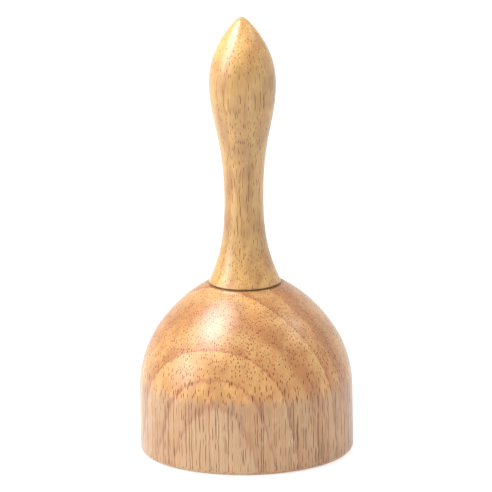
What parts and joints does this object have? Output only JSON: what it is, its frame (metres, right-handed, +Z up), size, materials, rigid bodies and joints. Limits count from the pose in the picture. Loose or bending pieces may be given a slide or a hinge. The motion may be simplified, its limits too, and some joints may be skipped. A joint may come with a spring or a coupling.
{
  "type": "wooden massage cup",
  "caption": "Turned wooden massage cup: a bell-shaped hollow dome with a round lip, bolted under a slim waisted handle that swells to a pointed end.",
  "frame": {"origin": "middle of the rim's plane, which the cup stands on", "axes": "+Z up along the turning axis, from the rim to the handle's point; +X and +Y alike across it"},
  "size_m": [0.095, 0.095, 0.1977],
  "materials": {
    "cup_wood": "semi-gloss clear varnish over orange-brown rubberwood",
    "handle_wood": "semi-gloss clear varnish over pale yellow rubberwood",
    "plug_wood": "satin clear varnish",
    "zinc_alloy": "dull cast zinc alloy",
    "plated_steel": "bright zinc plating"
  },
  "bodies": {
    "root": {"cup": "cup_wood", "handle": "handle_wood", "bore_plug": "plug_wood", "insert_nut": "zinc_alloy", "bolt": "plated_steel", "flat_washer": "plated_steel", "spring_washer": "plated_steel"}
  },
  "joints": []
}
